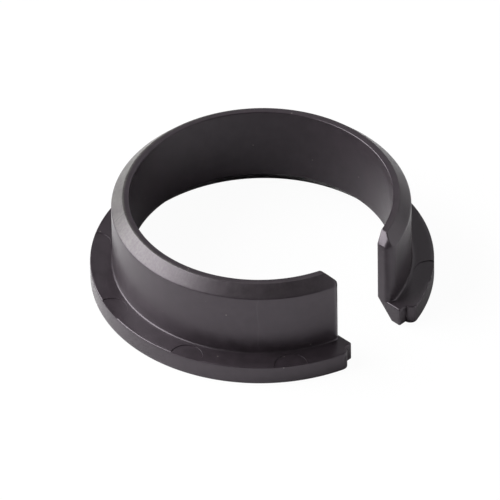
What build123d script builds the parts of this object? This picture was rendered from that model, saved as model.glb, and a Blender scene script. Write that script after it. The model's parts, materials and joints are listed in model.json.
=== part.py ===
from build123d import *

import os
from math import hypot

# Split flanged collar for a round fence post: one moulded piece, in millimetres.
# The bore axis is Z, and z = 0 is the shoulder, where the sleeve leaves the flange.
# The sleeve rises to +Z, the flange hangs below it, and the gap in the ring faces +X.

os.makedirs("parts", exist_ok=True)

# Ring
bore_radius = 30.3
sleeve_radius = 34.5
sleeve_height = 18.4
flange_radius = 39.7
flange_thickness = 4.8

# Gap through one side of the ring
gap_width = 15.9

# Edges
lead_in = 2.6            # 45 degree lead-in round the outside of the sleeve's free end
gap_flare = 2.1          # how far each gap face leans back over the height of the lead-in
foot_relief_width = 4.3  # slanted relief inside the flange, as tall as the flange is thick
shoulder_fillet = 0.4    # blend where the sleeve rises from the flange
fillet_start_deg = 17.0  # angle from the gap's middle at which that blend begins
sleeve_corner = 1.8      # rounding where the sleeve's outer wall turns into a gap face
mouth_x = 36.3           # distance from the bore axis at which the gap steps wider in the flange's rim
mouth_width = 20.2       # width of the gap beyond that step
flange_corner = 1.5      # rounding where the wider gap meets the rim

# Shallow round marks that the mould's ejector pins leave on the shoulder face
mark_count = 9
mark_pitch_deg = 36.0
mark_circle_radius = 39.1
mark_radius = 3.8
mark_depth = 0.15

half_gap = gap_width / 2
half_mouth = mouth_width / 2
lead_in_start = sleeve_height - lead_in
overcut = 1.0
flare_per_rise = gap_flare / lead_in
near = 0.01
wall_margin = 0.5


def plan_radius(shape):
    """Distance of an edge's or a vertex's middle from the bore axis."""
    return hypot(shape.center().X, shape.center().Y)


def spans(edge, low, high):
    """True if an edge runs from height low to height high."""
    box = edge.bounding_box()
    return abs(box.min.Z - low) < near and abs(box.max.Z - high) < near


with BuildPart() as split_flanged_collar:
    # Sleeve with its lead-in
    with BuildSketch(Plane.XZ):
        with BuildLine():
            Polyline(
                (bore_radius, 0),
                (bore_radius, sleeve_height),
                (sleeve_radius - lead_in, sleeve_height),
                (sleeve_radius, lead_in_start),
                (sleeve_radius, 0),
                close=True,
            )
        make_face()
    revolve(axis=Axis.Z)

    # Gap in the sleeve: parallel faces that lean back through the height of the lead-in
    with BuildSketch(Plane.YZ):
        with BuildLine():
            Polyline(
                (-half_gap, -overcut),
                (half_gap, -overcut),
                (half_gap, lead_in_start),
                (half_gap + gap_flare + overcut * flare_per_rise, sleeve_height + overcut),
                (-half_gap - gap_flare - overcut * flare_per_rise, sleeve_height + overcut),
                (-half_gap, lead_in_start),
                close=True,
            )
        make_face()
    extrude(amount=sleeve_radius + overcut, mode=Mode.SUBTRACT)

    # Rounded outer corners of the sleeve's two gap ends, carried up through the lead-in
    outer_edges = split_flanged_collar.edges().filter_by(
        lambda e: plan_radius(e) > bore_radius + wall_margin
    )
    uprights = outer_edges.filter_by(lambda e: spans(e, 0, lead_in_start))
    mitres = outer_edges.filter_by(lambda e: spans(e, lead_in_start, sleeve_height))
    fillet(uprights + mitres, radius=sleeve_corner)

    # Flange, whose gap steps wider at the rim
    with BuildSketch(Plane.XY):
        Circle(flange_radius)
        Circle(bore_radius, mode=Mode.SUBTRACT)
        with BuildLine():
            Polyline(
                (0, -half_gap),
                (mouth_x, -half_gap),
                (mouth_x, -half_mouth),
                (flange_radius + overcut, -half_mouth),
                (flange_radius + overcut, half_mouth),
                (mouth_x, half_mouth),
                (mouth_x, half_gap),
                (0, half_gap),
                close=True,
            )
        make_face(mode=Mode.SUBTRACT)
        fillet(vertices().filter_by(lambda v: plan_radius(v) > flange_radius - wall_margin), flange_corner)
    extrude(amount=-flange_thickness)

    # Slanted relief inside the flange
    with BuildSketch(Plane.XZ):
        with BuildLine():
            Polyline(
                (bore_radius, 0),
                (bore_radius + foot_relief_width, -flange_thickness),
                (bore_radius, -flange_thickness),
                close=True,
            )
        make_face()
    revolve(axis=Axis.Z, mode=Mode.SUBTRACT)

    # Blend where the sleeve rises from the flange, between the sleeve's rounded corners
    with BuildSketch(Plane.XZ.rotated((0, 0, fillet_start_deg))):
        with BuildLine():
            Polyline(
                (sleeve_radius, shoulder_fillet),
                (sleeve_radius, 0),
                (sleeve_radius + shoulder_fillet, 0),
            )
            RadiusArc(
                (sleeve_radius, shoulder_fillet),
                (sleeve_radius + shoulder_fillet, 0),
                -shoulder_fillet,
            )
        make_face()
    revolve(axis=Axis.Z, revolution_arc=360 - 2 * fillet_start_deg)

    # Ejector-pin marks, evenly pitched with one position lost in the gap
    with BuildSketch(Plane.XY):
        with PolarLocations(
            mark_circle_radius,
            mark_count,
            start_angle=mark_pitch_deg,
            angular_range=mark_count * mark_pitch_deg,
        ):
            Circle(mark_radius)
    extrude(amount=-mark_depth, mode=Mode.SUBTRACT)

split_flanged_collar.part.label = "split_flanged_collar"
export_step(split_flanged_collar.part, "parts/split_flanged_collar.step")
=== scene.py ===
"""Looks for the split flanged collar: a smooth mesh of the moulding, black plastic and a pale studio."""

import json
import math

import bmesh
import bpy
from mathutils import Matrix, Vector


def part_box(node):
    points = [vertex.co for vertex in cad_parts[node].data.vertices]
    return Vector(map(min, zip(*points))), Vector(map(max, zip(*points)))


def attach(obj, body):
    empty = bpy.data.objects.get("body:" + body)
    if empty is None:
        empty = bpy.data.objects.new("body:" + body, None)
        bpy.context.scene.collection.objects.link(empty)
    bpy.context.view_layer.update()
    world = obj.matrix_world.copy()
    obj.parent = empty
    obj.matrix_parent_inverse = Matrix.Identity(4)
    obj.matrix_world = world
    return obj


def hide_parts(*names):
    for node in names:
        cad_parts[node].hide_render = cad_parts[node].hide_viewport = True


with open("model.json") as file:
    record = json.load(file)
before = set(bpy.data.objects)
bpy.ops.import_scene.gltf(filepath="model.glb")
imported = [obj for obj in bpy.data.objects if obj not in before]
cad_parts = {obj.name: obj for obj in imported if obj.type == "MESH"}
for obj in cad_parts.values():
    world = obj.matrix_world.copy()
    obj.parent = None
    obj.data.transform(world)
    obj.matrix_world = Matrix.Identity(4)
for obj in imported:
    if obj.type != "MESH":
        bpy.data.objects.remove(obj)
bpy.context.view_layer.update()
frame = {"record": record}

MM = 0.001
NODE = "split_flanged_collar"

# ---------------------------------------------------------------------------
# Sizes, in millimetres. The ring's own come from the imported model.
# ---------------------------------------------------------------------------

mounts = {mount["name"]: mount for mount in frame["record"]["mounts"]}
low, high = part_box(NODE)
bore = mounts["bore"]["dims"]
sleeve = mounts["sleeve_outside"]["dims"]

BORE_RADIUS = bore["r_mm"]
SLEEVE_RADIUS = sleeve["r_mm"]
FLANGE_RADIUS = high.y / MM
FOOT_Z = low.z / MM
TOP_Z = high.z / MM
SHOULDER_FILLET = mounts["sleeve_outside"]["pos_m"][2] / MM
LEAD_IN_Z = SHOULDER_FILLET + sleeve["length_mm"]
LEAD_IN = TOP_Z - LEAD_IN_Z
HALF_GAP = 7.95
GAP_FLARE = 2.1
CREASE_BLEND = 0.2
RELIEF_WIDTH = 4.3

# From MOUTH_X outwards, in the flange's rim, the gap is wider: each of its faces stands back by MOUTH_STEP.
MOUTH_X = 36.3
MOUTH_STEP = 2.15
MOUTH_EDGE = 0.25
RIM_CORNER = 1.5
SLEEVE_CORNER = 1.8

MARK_COUNT = 9
MARK_PITCH = math.radians(36)
MARK_CIRCLE_RADIUS = 39.1
MARK_RADIUS = 3.8
MARK_DEPTH = 0.15
MARK_SIDES = 96
# The cutter's radius and height at each level. The wall of a mark slopes by MARK_SLOPE down to its floor.
MARK_SLOPE = 0.04
MARK_OVERCUT = 0.2
MARK_PROFILE = [
    (MARK_RADIUS - MARK_SLOPE, -MARK_DEPTH),
    (MARK_RADIUS, 0),
    (MARK_RADIUS, MARK_OVERCUT),
]
SMOOTH_ANGLE = math.radians(28)

# Rows of the mesh between the corners of each wall. The bore and the relief have as many rows as what they
# face across the section, so that a gap face is one grid.
ARC_STEPS = 4
CORNER_ROWS = ARC_STEPS + 1
FOOT_ROWS = 4
RIM_ROWS = 5
SHOULDER_ROWS = 6
SLEEVE_ROWS = 14
LEAD_IN_ROWS = 6
RELIEF_ROWS = FOOT_ROWS + CORNER_ROWS + RIM_ROWS + CORNER_ROWS + SHOULDER_ROWS
BORE_ROWS = SLEEVE_ROWS + CORNER_ROWS + LEAD_IN_ROWS
CAP_COLUMNS = 6
LAND_ROWS = CAP_COLUMNS - 1
# The most of a wall that the fillets of its two corners may take up.
MOST_FILLETED = 0.9

# The cross-section's walls in order round it: name, the corner it starts from, the radius of that corner,
# the radius of the edge where the wall turns into a gap face, and its rows.
WALLS = [
    ("foot", (BORE_RADIUS + RELIEF_WIDTH, FOOT_Z), 0.25, 0.3, FOOT_ROWS),
    ("rim", (FLANGE_RADIUS, FOOT_Z), 0.35, MOUTH_EDGE, RIM_ROWS),
    ("shoulder", (FLANGE_RADIUS, 0), 0.3, 0.3, SHOULDER_ROWS),
    ("sleeve", (SLEEVE_RADIUS, 0), SHOULDER_FILLET, SLEEVE_CORNER, SLEEVE_ROWS),
    ("lead_in", (SLEEVE_RADIUS, LEAD_IN_Z), 0.5, 0.35, LEAD_IN_ROWS),
    ("land", (SLEEVE_RADIUS - LEAD_IN, TOP_Z), 0.25, 0.3, LAND_ROWS),
    ("bore", (BORE_RADIUS, TOP_Z), 0.25, 0.3, BORE_ROWS),
    ("relief", (BORE_RADIUS, 0), 0.6, 0.3, RELIEF_ROWS),
]
WALL_COUNT = len(WALLS)
WALL_NAMES = [wall[0] for wall in WALLS]

# Columns of the mesh: END_STEPS for each rounding within END_ZONE of a gap face, at least CLOSEST_COLUMNS
# apart, and SWEEP_STEPS evenly round the rest of the ring.
END_ZONE = 4.5
END_STEPS = 8
CLOSEST_COLUMNS = 0.025
SWEEP_STEPS = 240


# ---------------------------------------------------------------------------
# Geometry of the ring
# ---------------------------------------------------------------------------

def direction_to(azimuth, elevation):
    """Unit vector towards an azimuth and an elevation in degrees."""
    a, e = math.radians(azimuth), math.radians(elevation)
    return Vector((math.cos(e) * math.cos(a), math.cos(e) * math.sin(a), math.sin(e)))


def gap_face_y(z):
    """Distance of a gap face from the gap's middle: upright, then leaning back beside the lead-in."""
    slope = GAP_FLARE / LEAD_IN
    rise = z - LEAD_IN_Z
    if rise <= -CREASE_BLEND:
        return HALF_GAP
    if rise >= CREASE_BLEND:
        return HALF_GAP + slope * rise
    return HALF_GAP + slope * (rise + CREASE_BLEND) ** 2 / (4 * CREASE_BLEND)


def rounded_inset(radius, depth):
    """How far a rounded edge stands in from a flat wall, at a depth behind the gap face."""
    if depth >= radius:
        return 0.0
    return radius - math.sqrt(radius ** 2 - (radius - depth) ** 2)


def round_corner_depth(circle, radius, face):
    """Depth behind the gap face at which a corner rounded in plan ends. Its arc touches a wall's circle, and
    a face that stands this far back from the gap face."""
    return (HALF_GAP + face + radius) * circle / (circle - radius) - HALF_GAP


def round_corner_inset(circle, radius, face, depth):
    """How far such a corner stands in from the wall's circle, at a depth behind the gap face."""
    if depth >= round_corner_depth(circle, radius, face):
        return 0.0
    centre = math.sqrt((circle - radius) ** 2 - (HALF_GAP + face + radius) ** 2)
    out = math.sqrt(radius ** 2 - (radius + face - depth) ** 2)
    return circle - math.hypot(centre + out, HALF_GAP + depth)


def sleeve_inset(radius, depth):
    """The inset of the sleeve's outer wall near a gap face."""
    return round_corner_inset(SLEEVE_RADIUS, radius, 0, depth)


def rim_inset(radius, depth):
    """The inset of the rim, whose corner lies behind the step in the gap."""
    if depth >= MOUTH_STEP:
        return round_corner_inset(FLANGE_RADIUS, RIM_CORNER, MOUTH_STEP, depth)
    return FLANGE_RADIUS - math.hypot(MOUTH_X, HALF_GAP + depth) + rounded_inset(radius, depth)


INSETS = {"rim": rim_inset, "sleeve": sleeve_inset}


def corner_arc(before, corner, after, radius):
    """Points along the fillet of one corner of the cross-section."""
    into = (corner - before).normalized()
    out = (after - corner).normalized()
    turn = -into.angle_signed(out)
    start = corner - into * radius * math.tan(abs(turn) / 2)
    centre = start + Vector((-into.y, into.x)) * math.copysign(radius, turn)
    return [
        centre + Matrix.Rotation(turn * step / ARC_STEPS, 2) @ (start - centre)
        for step in range(CORNER_ROWS)
    ]


def section_corners(depth):
    """Corners of the cross-section once each wall has moved in by its own rounding."""
    lines = []
    for index, (name, corner, _, end_radius, _) in enumerate(WALLS):
        start = Vector(corner)
        along = (Vector(WALLS[(index + 1) % WALL_COUNT][1]) - start).normalized()
        inward = Vector((-along.y, along.x))
        inset = INSETS.get(name, rounded_inset)(end_radius, depth)
        lines.append((start + inward * inset, along))
    corners = []
    for index in range(WALL_COUNT):
        point, along = lines[index - 1]
        other, other_along = lines[index]
        corners.append(point + along * ((other - point).cross(other_along) / along.cross(other_along)))
    return corners


def section_arcs(depth):
    """The filleted corners of the cross-section, each no larger than its two walls have room for."""
    corners = section_corners(depth)
    reaches = []
    for index in range(WALL_COUNT):
        into = corners[index] - corners[index - 1]
        out = corners[(index + 1) % WALL_COUNT] - corners[index]
        reaches.append(WALLS[index][2] * math.tan(abs(into.angle_signed(out)) / 2))
    arcs = []
    for index in range(WALL_COUNT):
        before, after = corners[index - 1], corners[(index + 1) % WALL_COUNT]
        room_before = (corners[index] - before).length / (reaches[index] + reaches[index - 1])
        room_after = (after - corners[index]).length / (reaches[index] + reaches[(index + 1) % WALL_COUNT])
        radius = WALLS[index][2] * min(1, MOST_FILLETED * room_before, MOST_FILLETED * room_after)
        arcs.append(corner_arc(before, corners[index], after, radius))
    return arcs


def row_fractions():
    """Where each wall's rows lie along it. The sleeve has rows at the crease of the gap face, and the bore
    has its rows level with those across the section."""
    fractions = {name: [(row + 1) / (rows + 1) for row in range(rows)] for name, _, _, _, rows in WALLS}
    arcs = dict(zip(WALL_NAMES, section_arcs(0)))
    foot_of_sleeve, head_of_sleeve = arcs["sleeve"][-1].y, arcs["lead_in"][0].y
    creases = [LEAD_IN_Z - CREASE_BLEND, LEAD_IN_Z, LEAD_IN_Z + CREASE_BLEND]
    crease_rows = [(z - foot_of_sleeve) / (head_of_sleeve - foot_of_sleeve) for z in creases]
    plain_rows = SLEEVE_ROWS - len(crease_rows)
    plain = [crease_rows[0] * (row + 1) / (plain_rows + 1) for row in range(plain_rows)]
    fractions["sleeve"] = plain + crease_rows

    levels = [foot_of_sleeve + f * (head_of_sleeve - foot_of_sleeve) for f in fractions["sleeve"]]
    levels += [point.y for point in arcs["lead_in"]]
    start, end = arcs["lead_in"][-1].y, arcs["land"][0].y
    levels += [start + f * (end - start) for f in fractions["lead_in"]]
    height = arcs["land"][0].y - foot_of_sleeve
    fractions["bore"] = [1 - (level - foot_of_sleeve) / height for level in reversed(levels)]
    return fractions


FRACTIONS = row_fractions()


def cross_section(depth):
    """The closed cross-section as points (radius, height), at a depth behind a gap face."""
    arcs = section_arcs(depth)
    points = []
    for index, name in enumerate(WALL_NAMES):
        points += arcs[index]
        start, end = arcs[index][-1], arcs[(index + 1) % WALL_COUNT][0]
        points += [start.lerp(end, fraction) for fraction in FRACTIONS[name]]
    return points


def end_point(radius, z, depth, side):
    """A point of the ring at a depth behind the gap face on one side."""
    y = gap_face_y(z) + depth
    return Vector((math.sqrt(radius ** 2 - y ** 2), side * y, z)) * MM


def swept_point(radius, z, share):
    """A point of the ring at a share of the way round, between the two end zones."""
    start = math.asin((gap_face_y(z) + END_ZONE) / radius)
    angle = start + share * (2 * math.pi - 2 * start)
    return Vector((radius * math.cos(angle), radius * math.sin(angle), z)) * MM


def end_depths():
    """Depths of the columns near a gap face, close together where the edges round off."""
    wanted = {END_ZONE, MOUTH_STEP - CLOSEST_COLUMNS}
    arcs = [(radius, 0, radius) for _, _, _, radius, _ in WALLS]
    arcs.append((SLEEVE_CORNER, 0, round_corner_depth(SLEEVE_RADIUS, SLEEVE_CORNER, 0)))
    arcs.append((RIM_CORNER, MOUTH_STEP, round_corner_depth(FLANGE_RADIUS, RIM_CORNER, MOUTH_STEP)))
    for radius, face, end in arcs:
        turn = math.acos(1 - (end - face) / radius)
        wanted |= {face + radius * (1 - math.cos(turn * step / END_STEPS)) for step in range(END_STEPS + 1)}
    depths = []
    for depth in sorted(wanted):
        if not depths or depth - depths[-1] >= CLOSEST_COLUMNS:
            depths.append(depth)
    return depths


def ring_columns():
    """Every cross-section of the ring in order, from one gap face round to the other."""
    depths = end_depths()
    sections = [cross_section(depth) for depth in depths]
    full = cross_section(END_ZONE)
    columns = [[end_point(r, z, depth, 1) for r, z in points] for depth, points in zip(depths, sections)]
    for step in range(1, SWEEP_STEPS):
        columns.append([swept_point(r, z, step / SWEEP_STEPS) for r, z in full])
    for depth, points in zip(reversed(depths), reversed(sections)):
        columns.append([end_point(r, z, depth, -1) for r, z in points])
    return columns


def add_gap_face(bm, rim, side):
    """Fills one gap face with a grid between the inner and the outer half of its outline."""
    section = cross_section(0)
    count = len(section)
    halfway = (count - CORNER_ROWS - LAND_ROWS) // 2
    rungs = []
    for step in range(halfway):
        a, b = -step % count, CORNER_ROWS - 1 + step
        rung = [rim[a]]
        for column in range(1, CAP_COLUMNS):
            point = section[a].lerp(section[b], column / CAP_COLUMNS)
            rung.append(bm.verts.new(end_point(point.x, point.y, 0, side)))
        rungs.append(rung + [rim[b]])
    land = CORNER_ROWS - 1 + halfway
    rungs.append(rim[land:land + CAP_COLUMNS + 1][::-1])
    for lower, upper in zip(rungs, rungs[1:]):
        for column in range(CAP_COLUMNS):
            face = [lower[column], lower[column + 1], upper[column + 1], upper[column]]
            bm.faces.new(face if side > 0 else reversed(face))
    foot = rim[:CORNER_ROWS] + rungs[0][-2:0:-1]
    bm.faces.new(foot if side < 0 else reversed(foot))


def add_object(name, bm):
    """Turns a bmesh into an object in the scene."""
    mesh = bpy.data.meshes.new(name)
    bm.to_mesh(mesh)
    bm.free()
    obj = bpy.data.objects.new(name, mesh)
    bpy.context.scene.collection.objects.link(obj)
    return obj


def build_ring():
    """The moulding as one closed mesh."""
    bm = bmesh.new()
    rings = [[bm.verts.new(point) for point in column] for column in ring_columns()]
    count = len(rings[0])
    for before, after in zip(rings, rings[1:]):
        for row in range(count):
            following = (row + 1) % count
            bm.faces.new([before[row], before[following], after[following], after[row]])
    for rim, side in ((rings[0], 1), (rings[-1], -1)):
        add_gap_face(bm, rim, side)
    bmesh.ops.recalc_face_normals(bm, faces=bm.faces)
    return add_object("collar", bm)


def mark_cutter():
    """Shallow discs with sloping sides, one for each ejector-pin mark."""
    bm = bmesh.new()
    for mark in range(1, MARK_COUNT + 1):
        turn = Matrix.Rotation(mark * MARK_PITCH, 4, "Z")
        loops = []
        for radius, z in MARK_PROFILE:
            loop = []
            for side in range(MARK_SIDES):
                angle = 2 * math.pi * side / MARK_SIDES
                point = Vector((MARK_CIRCLE_RADIUS + radius * math.cos(angle), radius * math.sin(angle), z))
                loop.append(bm.verts.new(turn @ point * MM))
            loops.append(loop)
        for lower, upper in zip(loops, loops[1:]):
            for side in range(MARK_SIDES):
                following = (side + 1) % MARK_SIDES
                bm.faces.new([lower[side], lower[following], upper[following], upper[side]])
        bm.faces.new(loops[0][::-1])
        bm.faces.new(loops[-1])
    return add_object("mark_cutter", bm)


def cut(target, cutter):
    """Takes the cutter's volume out of the target and removes the cutter."""
    modifier = target.modifiers.new("cut", "BOOLEAN")
    modifier.operation = "DIFFERENCE"
    modifier.solver = "EXACT"
    modifier.object = cutter
    with bpy.context.temp_override(object=target, active_object=target, selected_objects=[target]):
        bpy.ops.object.modifier_apply(modifier=modifier.name)
    bpy.data.objects.remove(cutter)


def smooth(obj, angle):
    """Smooth shading, with edges sharper than the angle left as creases."""
    bm = bmesh.new()
    bm.from_mesh(obj.data)
    for face in bm.faces:
        face.smooth = True
    for edge in bm.edges:
        edge.smooth = edge.calc_face_angle(0) < angle
    bm.to_mesh(obj.data)
    bm.free()


# ---------------------------------------------------------------------------
# Material. Lengths are in millimetres, and noise scales in cycles per millimetre.
# ---------------------------------------------------------------------------

NOISE_LOW, NOISE_HIGH = 0.3, 0.7

PLASTIC_DARK = (0.020, 0.016, 0.019, 1)
PLASTIC_PALE = (0.028, 0.022, 0.0265, 1)
SHEEN = (1.0, 0.90, 1.0, 1)
PLASTIC_IOR = 1.5
SMOOTHEST, ROUGHEST = 0.30, 0.36
MOTTLE_SCALE = 0.35
GRAIN_SCALE = 6.0
GRAIN_STRENGTH = 0.12
GRAIN_DEPTH = 0.05

# The lead-in is scuffed, and its pale scuff colour is partly a painted highlight: it is most where it faces
# SCUFF_AND_HIGHLIGHT_AZIMUTH, the side towards the left softbox, and SCUFF_AND_HIGHLIGHT_LEAST as much on
# the far side.
SCUFF_AND_HIGHLIGHT_COLOUR = (0.095, 0.096, 0.086, 1)
SCUFF_AND_HIGHLIGHT_AZIMUTH = 215
SCUFF_AND_HIGHLIGHT_LEAST = 0.12
SCUFF_STRENGTH = 0.16
SCUFF_DEPTH = 0.08
SPECKLE_SCALE = 1.5
STREAK_SCALE = 3.0
STREAK_STRETCH = 0.12
STREAK_SHARE = 0.35

# Lines left by the moulding: the azimuth, half the width, the height where it starts, and the colour.
FLOW_LINES = [
    (-125, 0.16, LEAD_IN_Z - 1.0, (0.006, 0.005, 0.006, 1)),
    (-47, 0.25, 0.0, (0.034, 0.028, 0.033, 1)),
]
FLOW_WANDER = 0.25
FLOW_WANDER_SCALE = 0.5
FLOW_FADE = 1.0

DUST_COLOUR = (0.22, 0.20, 0.19, 1)
DUST_SCALE = 0.45
DUST_SHOWN = 0.2
DUST_STRENGTH = 0.5

# The camera sees the floor FLOOR_GLOW of the way to plain white, so that the shadows on it are faint.
PAPER_DARK = (0.84, 0.84, 0.84, 1)
PAPER_PALE = (0.88, 0.88, 0.88, 1)
PAPER_CYCLES_PER_METRE = 60.0
FLOOR_GLOW = 0.96


class Nodes:
    """Short calls for building a node material."""

    def __init__(self, name):
        self.material = bpy.data.materials.new(name)
        self.material.use_nodes = True
        self.tree = self.material.node_tree
        self.tree.nodes.clear()

    def set(self, socket, value):
        """Links a socket to another, or gives it a value."""
        if isinstance(value, bpy.types.NodeSocket):
            self.tree.links.new(value, socket)
        else:
            socket.default_value = value

    def add(self, kind, inputs=(), **settings):
        node = self.tree.nodes.new(kind)
        for key, value in settings.items():
            setattr(node, key, value)
        for key, value in dict(inputs).items():
            self.set(node.inputs[key], value)
        return node

    def math(self, operation, a, b=0.0):
        return self.add("ShaderNodeMath", {0: a, 1: b}, operation=operation).outputs[0]

    def product(self, *factors):
        result = factors[0]
        for factor in factors[1:]:
            result = self.math("MULTIPLY", result, factor)
        return result

    def vector(self, operation, inputs, output=0):
        return self.add("ShaderNodeVectorMath", inputs, operation=operation).outputs[output]

    def along(self, vector, azimuth):
        """How far a vector reaches towards an azimuth."""
        return self.vector("DOT_PRODUCT", {0: vector, 1: direction_to(azimuth, 0)}, "Value")

    def noise(self, vector, scale, detail=2.0, roughness=0.5):
        inputs = {"Vector": vector, "Scale": scale, "Detail": detail, "Roughness": roughness}
        return self.add("ShaderNodeTexNoise", inputs).outputs["Fac"]

    def span(self, value, low, high, out_low=0.0, out_high=1.0, smooth=False):
        """Maps low to high onto out_low to out_high, and holds the ends."""
        inputs = {"Value": value, "From Min": low, "From Max": high, "To Min": out_low, "To Max": out_high}
        interpolation = "SMOOTHSTEP" if smooth else "LINEAR"
        return self.add("ShaderNodeMapRange", inputs, interpolation_type=interpolation).outputs["Result"]

    def mix(self, factor, a, b):
        node = self.add("ShaderNodeMix", data_type="RGBA")
        for index, value in ((0, factor), (6, a), (7, b)):
            self.set(node.inputs[index], value)
        return node.outputs[2]

    def bump(self, height, strength, distance, normal=None):
        inputs = {"Height": height, "Strength": strength, "Distance": distance * MM}
        if normal is not None:
            inputs["Normal"] = normal
        return self.add("ShaderNodeBump", inputs).outputs["Normal"]


def lead_in_mask(n, radius, height):
    """1 on the lead-in, where radius and height add up to the same all the way up, and 0 elsewhere."""
    edge = SLEEVE_RADIUS + LEAD_IN_Z
    above = n.span(height, LEAD_IN_Z, LEAD_IN_Z + 0.35, smooth=True)
    outside = n.span(n.math("ADD", radius, height), edge - 0.6, edge - 0.15, smooth=True)
    return n.product(above, outside)


def lead_in_wear(n, mm, outward, height):
    """Speckle, with streaks that change fast round the ring and slowly up the slope."""
    ring = n.vector("SCALE", {0: outward, "Scale": SLEEVE_RADIUS})
    slope = n.add("ShaderNodeCombineXYZ", {2: n.product(height, STREAK_STRETCH)}).outputs[0]
    streaks = n.noise(n.vector("ADD", {0: ring, 1: slope}), STREAK_SCALE, 3.0, 0.6)
    speckle = n.noise(mm, SPECKLE_SCALE, 4.0, 0.7)
    return n.math("ADD", n.product(streaks, STREAK_SHARE), n.product(speckle, 1 - STREAK_SHARE))


def with_flow_line(n, colour, mm, height, azimuth, half_width, start, tint):
    """The colour with one moulding line on it, which wanders a little and fades in from its lower end."""
    wander = n.span(
        n.noise(mm, FLOW_WANDER_SCALE, 1.0), NOISE_LOW, NOISE_HIGH, -FLOW_WANDER, FLOW_WANDER
    )
    off = n.math("ABSOLUTE", n.math("ADD", n.along(mm, azimuth + 90), wander))
    near = n.span(off, half_width, 0.0)
    this_side = n.span(n.along(mm, azimuth), 0.0, 1.0)
    risen = n.span(height, start, start + FLOW_FADE)
    return n.mix(n.product(near, this_side, risen), colour, tint)


def with_dust(n, colour, mm):
    """The colour with a few pale grains on it, each at the middle of a Voronoi cell."""
    cells = n.add("ShaderNodeTexVoronoi", {"Vector": mm, "Scale": DUST_SCALE, "Randomness": 1.0})
    chance = n.add("ShaderNodeSeparateColor", {0: cells.outputs["Color"]}).outputs[0]
    grain = n.span(cells.outputs["Distance"], 0.10, 0.05)
    shown = n.span(chance, 1 - DUST_SHOWN, 1.02 - DUST_SHOWN)
    return n.mix(n.product(grain, shown, DUST_STRENGTH), colour, DUST_COLOUR)


def black_plastic():
    """Satin black injection-moulded plastic, scuffed pale on the lead-in, the pale partly a painted
    highlight on the side towards the left softbox.
    """
    n = Nodes("black_plastic")
    place = n.add("ShaderNodeTexCoord").outputs["Object"]
    mm = n.vector("SCALE", {0: place, "Scale": 1 / MM})
    x, y, height = n.add("ShaderNodeSeparateXYZ", {0: mm}).outputs
    level = n.add("ShaderNodeCombineXYZ", {0: x, 1: y}).outputs[0]
    radius = n.vector("LENGTH", {0: level}, "Value")
    outward = n.vector("NORMALIZE", {0: level})
    on_lead_in = lead_in_mask(n, radius, height)
    wear = lead_in_wear(n, mm, outward, height)
    mottle = n.noise(mm, MOTTLE_SCALE, 3.0, 0.55)

    colour = n.mix(n.span(mottle, NOISE_LOW, NOISE_HIGH), PLASTIC_DARK, PLASTIC_PALE)
    # Painted highlight as well as scuff: the lead-in's pale colour is strongest on the side that faces the
    # left softbox.
    side = n.span(n.along(outward, SCUFF_AND_HIGHLIGHT_AZIMUTH), 0.1, 0.85, SCUFF_AND_HIGHLIGHT_LEAST, 1.0, smooth=True)
    colour = n.mix(n.product(on_lead_in, side, n.span(wear, 0.33, 0.66)), colour, SCUFF_AND_HIGHLIGHT_COLOUR)
    for line in FLOW_LINES:
        colour = with_flow_line(n, colour, mm, height, *line)
    colour = with_dust(n, colour, mm)

    roughness = n.span(mottle, NOISE_LOW, NOISE_HIGH, SMOOTHEST, ROUGHEST)
    rougher = n.product(on_lead_in, n.span(wear, NOISE_LOW, NOISE_HIGH, 0.04, 0.14))
    normal = n.bump(n.noise(mm, GRAIN_SCALE, 3.0, 0.6), GRAIN_STRENGTH, GRAIN_DEPTH)
    normal = n.bump(n.product(wear, on_lead_in), SCUFF_STRENGTH, SCUFF_DEPTH, normal)
    shader = n.add(
        "ShaderNodeBsdfPrincipled",
        {
            "Base Color": colour,
            "Roughness": n.math("ADD", roughness, rougher),
            "Normal": normal,
            "IOR": PLASTIC_IOR,
            "Specular Tint": SHEEN,
        },
    )
    n.add("ShaderNodeOutputMaterial", {"Surface": shader.outputs[0]})
    return n.material


def studio_floor():
    """Matt white paper, which the camera sees overexposed."""
    n = Nodes("studio_floor")
    place = n.add("ShaderNodeTexCoord").outputs["Object"]
    fibres = n.span(n.noise(place, PAPER_CYCLES_PER_METRE), NOISE_LOW, NOISE_HIGH)
    matt = n.add("ShaderNodeBsdfDiffuse", {"Color": n.mix(fibres, PAPER_DARK, PAPER_PALE)})
    glow = n.add("ShaderNodeEmission", {"Color": (1, 1, 1, 1), "Strength": 1.0})
    seen = n.product(n.add("ShaderNodeLightPath").outputs["Is Camera Ray"], FLOOR_GLOW)
    both = n.add("ShaderNodeMixShader", {0: seen, 1: matt.outputs[0], 2: glow.outputs[0]})
    n.add("ShaderNodeOutputMaterial", {"Surface": both.outputs[0]})
    return n.material


# ---------------------------------------------------------------------------
# Studio. Lengths are in metres unless said, and angles in degrees.
# ---------------------------------------------------------------------------

CAMERA_AZIMUTH = -45.0
CAMERA_ELEVATION = 39.55
CAMERA_ROLL = 0.98
CAMERA_DISTANCE = 2.382
CAMERA_REACH = 20
VIEW_WIDTH = 0.11546
FRAMING_RIGHT = 0.00284
FRAMING_DOWN = 0.00526
SENSOR_WIDTH_MM = 36.0

FLOOR_SIZE = 6.0
FLOOR_CELLS = 8
FLOOR_DROP_MM = 0.02
WORLD_LIGHT = 0.03

# Softboxes at one distance from the ring: name, azimuth, elevation, width, height, and radiance of the face.
SOFTBOX_DISTANCE = 1.6
SOFTBOXES = [
    ("left_softbox", 218, 33, 1.7, 1.5, 9.5),
    ("right_softbox", 40, 22, 2.2, 0.8, 2.2),
    ("top_softbox", 165, 66, 0.9, 0.7, 0.6),
    ("back_softbox", 112, 36, 1.0, 0.8, 1.0),
]


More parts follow.
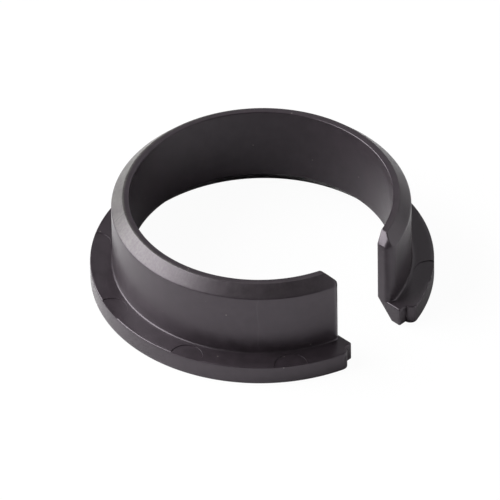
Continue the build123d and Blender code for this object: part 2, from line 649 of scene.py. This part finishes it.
def add_camera():
    """The camera: far away, with a long lens that takes in VIEW_WIDTH at the ring."""
    back = direction_to(CAMERA_AZIMUTH, CAMERA_ELEVATION)
    level = Vector((0, 0, 1)).cross(back).normalized()
    upright = back.cross(level)
    roll = math.radians(CAMERA_ROLL)
    right = level * math.cos(roll) - upright * math.sin(roll)
    up = level * math.sin(roll) + upright * math.cos(roll)
    target = Vector((0, 0, FOOT_Z)) * MM - right * FRAMING_RIGHT + up * FRAMING_DOWN
    axes = Matrix((right, up, back)).transposed().to_4x4()
    data = bpy.data.cameras.new("camera")
    data.sensor_width = SENSOR_WIDTH_MM
    data.lens = SENSOR_WIDTH_MM * CAMERA_DISTANCE / VIEW_WIDTH
    data.clip_end = CAMERA_REACH
    camera = bpy.data.objects.new("camera", data)
    camera.matrix_world = Matrix.Translation(target + back * CAMERA_DISTANCE) @ axes
    bpy.context.scene.collection.objects.link(camera)
    bpy.context.scene.camera = camera


def add_softbox(name, azimuth, elevation, width, height, radiance):
    """A rectangular area light that faces the ring."""
    data = bpy.data.lights.new(name, "AREA")
    data.shape = "RECTANGLE"
    data.size = width
    data.size_y = height
    data.energy = radiance * math.pi * width * height
    light = bpy.data.objects.new(name, data)
    towards = direction_to(azimuth, elevation)
    light.location = towards * SOFTBOX_DISTANCE
    light.rotation_euler = towards.to_track_quat("Z", "Y").to_euler()
    bpy.context.scene.collection.objects.link(light)


def add_floor():
    """A flat floor just under the foot, clear of it so that the two faces don't fight."""
    bm = bmesh.new()
    bmesh.ops.create_grid(bm, x_segments=FLOOR_CELLS, y_segments=FLOOR_CELLS, size=FLOOR_SIZE / 2)
    floor = add_object("floor", bm)
    floor.location.z = (FOOT_Z - FLOOR_DROP_MM) * MM
    floor.data.materials.append(studio_floor())
    return floor


def add_world():
    """A faint even white light from all round."""
    world = bpy.data.worlds.new("studio")
    world.use_nodes = True
    background = world.node_tree.nodes["Background"]
    background.inputs["Color"].default_value = (1, 1, 1, 1)
    background.inputs["Strength"].default_value = WORLD_LIGHT
    bpy.context.scene.world = world


# ---------------------------------------------------------------------------
# The scene
# ---------------------------------------------------------------------------

collar = build_ring()
cut(collar, mark_cutter())
smooth(collar, SMOOTH_ANGLE)
collar.data.materials.append(black_plastic())
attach(collar, "root")
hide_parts(NODE)

add_floor()
for softbox in SOFTBOXES:
    add_softbox(*softbox)
add_world()
add_camera()
bpy.context.scene.view_settings.view_transform = "Standard"
